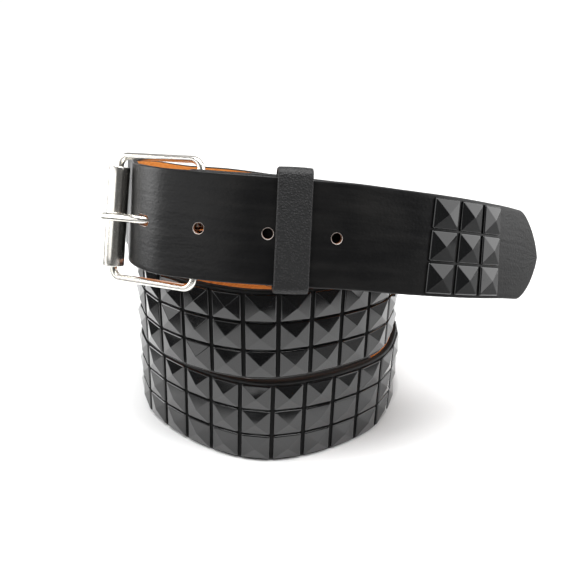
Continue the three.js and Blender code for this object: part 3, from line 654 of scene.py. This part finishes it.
# ---------------------------------------------------------------- buckle frame
# Round nickel-plated wire bent to a rectangle with round corners, its ends butted at the heel bar.
FRAME_WIRE = 3.0
FRAME_REACH = 39.1
FRAME_HEIGHT = 49.6
FRAME_CORNER = 4.2
BUCKLE_TURN = math.radians(22.9)
NICKEL = (0.92, 0.89, 0.83, 1)


def buckle_basis():
    """The heel bar's middle and the buckle's ways forward, across and out: across as the strap's,
    turned over, and forward the buckle's heading made square to it."""
    point, _, across, out = [value[0] for value in frames(0)]
    over = -across
    heading = np.array([-math.cos(BUCKLE_TURN), math.sin(BUCKLE_TURN), 0])
    ahead = unit(heading - over * (heading @ over))
    return point - across * HOLE_DROP - out * BAR_SEAT, ahead, over, np.cross(ahead, over)


BUCKLE = buckle_basis()


def in_buckle(along, across, out):
    """Points of the buckle's own frame, from places along, across and out of it."""
    middle, ahead, over, away = BUCKLE
    along, across, out = [np.asarray(value, float)[..., None] for value in (along, across, out)]
    return middle + along * ahead + across * over + out * away


def frame_mesh():
    """A circle carried round a rounded rectangle: corner arcs of eight steps and straight sides."""
    inset = FRAME_HEIGHT / 2 - FRAME_CORNER
    turn = np.radians(np.linspace(0, 90, 9))
    x, y, way = [], [], []
    front, back = FRAME_REACH - FRAME_CORNER, FRAME_CORNER
    for middle_x, middle_y, start in [(front, inset, 0), (back, inset, 90),
                                      (back, -inset, 180), (front, -inset, 270)]:
        angle = turn + math.radians(start)
        x.append(middle_x + FRAME_CORNER * np.cos(angle))
        y.append(middle_y + FRAME_CORNER * np.sin(angle))
        way.append(angle)
    x, y, way = [np.concatenate(values)[:, None] for values in (x, y, way)]
    round_wire = np.radians(np.arange(0, 360, 15))[None]
    push = FRAME_WIRE / 2 * np.cos(round_wire)
    rise = FRAME_WIRE / 2 * np.sin(round_wire) + 0 * x
    points = in_buckle(x + push * np.cos(way), y + push * np.sin(way), rise)
    rows, columns = points.shape[:2]
    faces = grid_faces(rows + 1, columns)[0] % (rows * columns)
    return add_piece("nickel_buckle_frame", points.reshape(-1, 3), faces[:, ::-1].tolist())


def nickel_material():
    """Polished nickel plate with fine scratches and smudges."""
    material, tree, shader = new_material("polished_nickel")
    place = add_node(tree, "ShaderNodeTexCoord").outputs["Object"]
    wear = use_group(tree, WEAR_GROUP, Vector=place)
    gloss = math_node(tree, "MULTIPLY_ADD", wear["Smudge"], 0.04,
                      math_node(tree, "MULTIPLY_ADD", wear["Scratch"], 0.04, 0.22))
    feed(tree, shader, Base_Color=NICKEL, Metallic=1.0, Roughness=gloss,
         Normal=bump(tree, wear["Height"], 0.04, 0.0004))
    return material


NICKEL_PLATE = nickel_material()


def dress(piece, body, node, material):
    """Gives a piece its material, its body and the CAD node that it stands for."""
    piece.data.materials.append(material)
    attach(piece, body)
    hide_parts(node)


dress(frame_mesh(), "belt", "buckle_frame", NICKEL_PLATE)


# ---------------------------------------------------------------- roller
# A nickel-plated tube rolled from sheet, with its seam at the back, free to turn on the front bar.
ROLLER_RADIUS = 4.1
ROLLER_BORE = 1.85
ROLLER_LENGTH = 40.5
SEAM_AT = 262.5
SEAM_DEPTH = 0.16


def roller_mesh():
    """A closed profile of bore, rounded ends and outside, turned round the bar, with the outside
    dented along one line as the seam."""
    half, soft = ROLLER_LENGTH / 2, 0.45
    bend = np.radians(np.linspace(0, 90, 5))
    outer = [(ROLLER_RADIUS - soft + soft * math.sin(b), half - soft + soft * math.cos(b)) for b in bend]
    inner = [(ROLLER_BORE, half - 0.3), (ROLLER_BORE + 0.3, half)]
    upper = inner + outer + [(ROLLER_RADIUS, half - 4), (ROLLER_RADIUS, half - 12)]
    radius, height = np.array(upper + [(r, -h) for r, h in upper[::-1]]).T
    turn = np.radians(np.arange(0, 360, 7.5))[:, None]
    seam = SEAM_DEPTH * np.exp(-((np.degrees(turn) - SEAM_AT) / 5) ** 2) * (radius > ROLLER_RADIUS - 0.2)
    r = radius[None] - seam
    points = in_buckle(FRAME_REACH + r * np.cos(turn), height + 0 * r, r * np.sin(turn))
    rows, columns = points.shape[:2]
    faces = grid_faces(rows + 1, columns)[0] % (rows * columns)
    return add_piece("nickel_roller", points.reshape(-1, 3), faces[:, ::-1].tolist())


dress(roller_mesh(), "roller", "roller", NICKEL_PLATE)


# ---------------------------------------------------------------- prong
# A nickel-plated wire bent to an eye round the heel bar. It runs inside the free end, comes out
# through its hole and rests over the roller.
PRONG_WIRE = 3.2
PRONG_RING = 2.6
PRONG_EYE_HALF_WALL = 0.8
PRONG_EYE_HALF_WIDTH = 1.6
PRONG_BEND = 3.0
PRONG_BESIDE = 3.2
PRONG_OVER = 6.0
PRONG_OVERHANG = 0.6


def prong_mesh():
    """A circle carried along the rod's curve and drawn in to a half ball at its end, and an oval
    carried round the heel bar, fused."""
    along = PRONG_HOLE_AT + np.array([PRONG_BEND, 0, -PRONG_BEND])
    point, _, across, out = frames(along)
    lift = np.array([[-PRONG_BESIDE], [0], [PRONG_BESIDE]])
    through = point - across * HOLE_DROP + out * lift
    rod = np.vstack([in_buckle(PRONG_RING, 0, 0), through, in_buckle(FRAME_REACH, 0, PRONG_OVER),
                     in_buckle(FRAME_REACH + PRONG_OVERHANG, 0, PRONG_OVER)])
    centre = catmull(rod, 14)
    forward = unit(np.gradient(centre, axis=0))
    radius = np.full(len(centre), PRONG_WIRE / 2)
    close = np.radians([22, 45, 65, 80, 88])[:, None]
    centre = np.vstack([centre, centre[-1] + forward[-1] * PRONG_WIRE / 2 * np.sin(close)])
    forward = np.vstack([forward, np.repeat(forward[-1:], 5, 0)])
    radius = np.concatenate([radius, PRONG_WIRE / 2 * np.cos(close[:, 0])])
    side = unit(BUCKLE[2] - forward * (forward @ BUCKLE[2])[:, None])
    up = np.cross(forward, side)
    turn = np.radians(np.arange(0, 360, 20))[None, :, None]
    way = side[:, None] * np.cos(turn) + up[:, None] * np.sin(turn)
    points = centre[:, None] + radius[:, None, None] * way
    rows, columns = points.shape[:2]
    faces = grid_faces(rows, columns)[0].tolist()
    faces += [list(range(columns))[::-1], list(range((rows - 1) * columns, rows * columns))]
    prong = add_piece("nickel_prong", points.reshape(-1, 3), faces)
    turn = np.radians(np.arange(0, 360, 10))[:, None]
    oval = np.radians(np.arange(0, 360, 22.5))[None]
    reach = PRONG_RING + PRONG_EYE_HALF_WALL * np.cos(oval)
    wide = PRONG_EYE_HALF_WIDTH * np.sin(oval) + 0 * turn
    ring = in_buckle(reach * np.cos(turn), wide, reach * np.sin(turn))
    rows, columns = ring.shape[:2]
    faces = grid_faces(rows + 1, columns)[0] % (rows * columns)
    eye = add_piece("prong_eye", ring.reshape(-1, 3), faces.tolist())
    apply_boolean(prong, eye, "UNION")
    return prong


dress(prong_mesh(), "belt", "prong", NICKEL_PLATE)


# ---------------------------------------------------------------- fold rivets
# Two nickel rivets with low domed heads that hold the fold of the strap shut.
RIVET_FROM_BAR = 19.0
RIVET_PLACES = (10.0, -10.0)
RIVET_MIDDLE = -1.475
RIVET_HALF_GRIP = 3.075


def rivet_mesh(name, across_place):
    """A profile of pin and two domed heads turned round the way out of the strap."""
    head = [(1.2, 0.0), (3.3, 0.0), (3.5, 0.12), (3.35, 0.34), (2.6, 0.58), (1.4, 0.76), (0.02, 0.8)]
    upper = [(r, RIVET_HALF_GRIP + h) for r, h in head]
    radius, height = np.array([(r, -h) for r, h in upper[::-1]] + upper).T
    turn = np.radians(np.arange(0, 360, 15))[:, None]
    point, forward, across, out = frames(RIVET_FROM_BAR)
    x, y = radius[None] * np.cos(turn), across_place + radius[None] * np.sin(turn)
    z = RIVET_MIDDLE + height[None] + 0 * turn
    points = point + x[..., None] * forward + y[..., None] * across + z[..., None] * out
    rows, columns = points.shape[:2]
    i, j = np.meshgrid(np.arange(rows), np.arange(columns - 1), indexing="ij")
    a, b = i * columns + j, ((i + 1) % rows) * columns + j
    quads = np.stack([a, b, b + 1, a + 1], -1).reshape(-1, 4)
    ends = [[k * columns for k in range(rows)][::-1], [k * columns + columns - 1 for k in range(rows)]]
    return add_piece(name, points.reshape(-1, 3), quads.tolist() + ends)


for number, place in enumerate(RIVET_PLACES):
    rivet = rivet_mesh(f"nickel_fold_rivet_{number + 1}", place)
    dress(rivet, "belt", f"fold_rivet_{number + 1}", NICKEL_PLATE)


# ---------------------------------------------------------------- keeper
# A loop of pebbled black leather, closed behind, that holds the free end against the strap.
KEEPER_AT = 37.0
KEEPER_WIDTH = 13.0
KEEPER_WALL = 1.7
KEEPER_HALF_DEEP = 4.8
KEEPER_HALF_TALL = 22.55
KEEPER_CORNER = 2.55
KEEPER_EDGE_ROUND = 0.6
KEEPER_CROWN = 0.22
KEEPER_TURN = math.radians(4)
PEBBLE_BLACK = (0.006, 0.006, 0.0065, 1)
PEBBLE_WORN = (0.022, 0.021, 0.021, 1)


def keeper_mesh():
    """A crowned band's cross-section carried round a rounded rectangle, turned a little about the
    way out of the strap."""
    point, forward, across, out = [value[0] for value in frames(KEEPER_AT)]
    turned = forward * math.cos(KEEPER_TURN) + np.cross(out, forward) * math.sin(KEEPER_TURN)
    over = across * math.cos(KEEPER_TURN) + np.cross(out, across) * math.sin(KEEPER_TURN)
    centre = point + out * LAYER_STEP / 2
    x, y, way = [], [], []
    bend = np.radians(np.linspace(0, 90, 9))
    straight = np.linspace(0, 1, 15)[1:-1]
    deep, tall = KEEPER_HALF_DEEP - KEEPER_CORNER, KEEPER_HALF_TALL - KEEPER_CORNER
    for sx, sy, start in [(1, 1, 0), (-1, 1, 90), (-1, -1, 180), (1, -1, 270)]:
        angle = bend + math.radians(start)
        x.append(sx * deep + KEEPER_CORNER * np.cos(angle))
        y.append(sy * tall + KEEPER_CORNER * np.sin(angle))
        way.append(angle)
        if start in (90, 270):
            x.append(np.full(len(straight), sx * KEEPER_HALF_DEEP))
            y.append(sy * tall * (1 - 2 * straight))
            way.append(np.full(len(straight), math.radians(start + 90)))
    x, y, way = [np.concatenate(values)[:, None] for values in (x, y, way)]
    lines = np.array([-1, -0.93, -0.6, -0.2, 0.2, 0.6, 0.93, 1])
    profile = band_profile(KEEPER_WALL / 2, KEEPER_EDGE_ROUND, lines)
    wide = (profile[:, 0] * (KEEPER_WIDTH / 2 - KEEPER_EDGE_ROUND) + profile[:, 1])[None]
    crown = KEEPER_CROWN * (wide / (KEEPER_WIDTH / 2)) ** 2 * (profile[None, :, 2] > 0)
    thick = profile[None, :, 2] - crown
    points = (centre + (x + thick * np.cos(way))[..., None] * out
              + (y + thick * np.sin(way))[..., None] * over
              + (wide + 0 * x)[..., None] * turned)
    rows, columns = points.shape[:2]
    faces = grid_faces(rows + 1, columns)[0] % (rows * columns)
    return add_piece("leather_keeper", points.reshape(-1, 3), faces[:, ::-1].tolist())


def keeper_material():
    """Black leather embossed with small rounded pebbles."""
    material, tree, shader = new_material("pebbled_leather")
    place = add_node(tree, "ShaderNodeTexCoord").outputs["Object"]
    cells = add_node(tree, "ShaderNodeTexVoronoi", {"Vector": place, "Scale": 1300.0}, feature="F1")
    pebble = ramp(tree, cells.outputs["Distance"], 0.0, 0.65, 1.0, 0.0)
    grain = use_group(tree, GRAIN_GROUP, Vector=place, Cells=2400.0, Crease=0.4)
    height = math_node(tree, "MULTIPLY_ADD", grain["Height"], 0.3, pebble)
    colour = mix_colour(tree, ramp(tree, pebble, 0.4, 1.0), PEBBLE_BLACK, PEBBLE_WORN)
    feed(tree, shader, Base_Color=colour, Roughness=ramp(tree, pebble, 0.2, 1.0, 0.6, 0.42),
         Normal=bump(tree, height, 0.5, 0.0003))
    return material


dress(keeper_mesh(), "belt", "keeper", keeper_material())


# ---------------------------------------------------------------- stage
# A seamless white sweep, the camera at the photograph's angle, and soft lights from above, from
# either side and from the front left, in a room that is dark in front and near the floor.
def sweep_mesh():
    """A floor that rises behind as a quarter circle into a wall."""
    turn = np.radians(np.linspace(0, 90, 24))
    y = np.concatenate([[-1600], 700 + 500 * np.sin(turn), [1200]])
    z = np.concatenate([[0], 500 - 500 * np.cos(turn), [2200]])
    x = np.array([-2600.0, 2600.0])
    points = np.stack(np.broadcast_arrays(x[None], y[:, None], z[:, None]), -1)
    k = np.arange(len(y) - 1) * 2
    faces = np.stack([k, k + 1, k + 3, k + 2], 1)
    return add_piece("white_sweep", points.reshape(-1, 3), faces.tolist())


def sweep_material():
    """Matt white paper, and beyond it, out of the picture, a darker floor for the pieces to mirror:
    dark where the place is more than 0.15 to 0.18 m from the middle and either in front or to the
    side of the camera's view, greyer to the right, with a pale strip and sheet at the front left.
    Inside the coil the paper is painted near black as painted shadow, soft at its edge."""
    material, tree, shader = new_material("white_paper")
    place = add_node(tree, "ShaderNodeTexCoord").outputs["Object"]
    x, y, _ = add_node(tree, "ShaderNodeSeparateXYZ", {0: place}).outputs
    reach = add_node(tree, "ShaderNodeVectorMath", {0: place}, operation="LENGTH").outputs[1]
    far = ramp(tree, reach, 0.15, 0.18)
    beside = math_node(tree, "MULTIPLY_ADD", y, -0.66, math_node(tree, "ABSOLUTE", x))
    dark = math_node(tree, "MAXIMUM", ramp(tree, y, -0.190, -0.206), ramp(tree, beside, 0.20, 0.26))
    dark = math_node(tree, "MULTIPLY", dark, far)
    slant = math_node(tree, "MULTIPLY_ADD", x, 0.59, math_node(tree, "MULTIPLY_ADD", y, 0.81, 0.366))
    strip = math_node(tree, "MULTIPLY", ramp(tree, x, 0.03, 0.02), ramp(tree, y, -0.37, -0.38))
    sheet = math_node(tree, "MAXIMUM", strip, ramp(tree, slant, 0.0, -0.01))
    sheet = math_node(tree, "MULTIPLY", sheet, ramp(tree, y, -0.52, -0.50))
    # table holds the dark grey of the floor out of the picture, greyer to the right, which the pieces
    # mirror
    table = mix_colour(tree, ramp(tree, x, 0.14, 0.30), (0.04, 0.04, 0.04, 1), (0.30, 0.30, 0.30, 1))
    beyond = mix_colour(tree, sheet, table, (0.9, 0.9, 0.9, 1))
    # painted shadow: a near-black round with a soft edge, painted on the paper inside the coil
    from_coil = add_node(tree, "ShaderNodeVectorMath", {0: place, 1: (0.0, 0.006, 0)}, operation="DISTANCE")
    painted_coil_shadow = ramp(tree, from_coil.outputs[1], 0.046, 0.036)
    paper = mix_colour(tree, painted_coil_shadow, (0.9, 0.9, 0.9, 1), (0.015, 0.015, 0.015, 1))
    feed(tree, shader, Base_Color=mix_colour(tree, dark, paper, beyond),
         Roughness=0.9, Specular_IOR_Level=0.0)
    return material


sweep = sweep_mesh()
sweep.data.materials.append(sweep_material())


def add_light(name, place, target, size, power):
    """A rectangular soft light that faces a target."""
    data = bpy.data.lights.new(name, "AREA")
    data.shape = "RECTANGLE"
    data.size, data.size_y = size
    data.energy = power
    light = bpy.data.objects.new(name, data)
    light.location = place
    light.rotation_mode = "QUATERNION"
    light.rotation_quaternion = (Vector(target) - Vector(place)).to_track_quat("-Z", "Y")
    bpy.context.scene.collection.objects.link(light)


add_light("soft_top", (0.0, -0.25, 1.25), (0, 0, 0), (1.3, 0.45), 25)
add_light("soft_left", (-1.3, 0.0, 0.45), (0, 0, 0.08), (0.8, 0.8), 12)
add_light("soft_front_left", (-0.85, -0.85, 0.42), (0, 0, 0.1), (1.2, 0.4), 2.4)
add_light("soft_right", (1.3, 0.0, 0.6), (0, 0, 0.08), (1.6, 1.2), 14)


def room_world():
    """The room: its strength is the product of a rise from front to back, by the y of the direction
    seen, and a rise from the floor upwards, by its z, and never less than 0.09."""
    world = bpy.data.worlds.new("room")
    world.use_nodes = True
    tree = world.node_tree
    way = add_node(tree, "ShaderNodeSeparateXYZ", {
        0: add_node(tree, "ShaderNodeTexCoord").outputs["Generated"]}).outputs
    upwards = ramp(tree, way[2], 0.1, 0.4, 0.02, 0.4)
    pale = math_node(tree, "MULTIPLY", ramp(tree, way[1], -0.5, 0.1), upwards)
    pale = math_node(tree, "MAXIMUM", pale, 0.09)
    background = tree.nodes["Background"]
    tree.links.new(pale, background.inputs["Strength"])
    background.inputs["Color"].default_value = (1, 1, 1, 1)
    return world


bpy.context.scene.world = room_world()

CAMERA_PLACE = np.array([-5.913, -261.422, 176.592])
CAMERA_PITCH = 0.32334915
CAMERA_ROLL = 0.05227518
FOCAL_PIXELS = 550.0
PICTURE_SIDE = 570.0
PICTURE_CENTRE = (313.93, 226.99)


def add_camera():
    """Looks along +Y tipped down by the pitch and rolled about its own axis, with the picture's
    centre shifted from the photograph's middle."""
    data = bpy.data.cameras.new("camera")
    data.sensor_width = 36.0
    data.lens = FOCAL_PIXELS / PICTURE_SIDE * data.sensor_width
    data.shift_x = (PICTURE_SIDE / 2 - PICTURE_CENTRE[0]) / PICTURE_SIDE
    data.shift_y = (PICTURE_CENTRE[1] - PICTURE_SIDE / 2) / PICTURE_SIDE
    data.clip_start, data.clip_end = 0.01, 20
    ahead = Vector((0, math.cos(CAMERA_PITCH), -math.sin(CAMERA_PITCH)))
    upright = Vector((0, math.sin(CAMERA_PITCH), math.cos(CAMERA_PITCH)))
    level = Vector((1, 0, 0))
    right = level * math.cos(CAMERA_ROLL) + upright * math.sin(CAMERA_ROLL)
    up = upright * math.cos(CAMERA_ROLL) - level * math.sin(CAMERA_ROLL)
    camera = bpy.data.objects.new("camera", data)
    turn = Matrix((right, up, -ahead)).transposed().to_4x4()
    camera.matrix_world = Matrix.Translation(Vector(CAMERA_PLACE * 0.001)) @ turn
    bpy.context.scene.collection.objects.link(camera)
    bpy.context.scene.camera = camera


add_camera()
bpy.context.scene.view_settings.view_transform = "Standard"
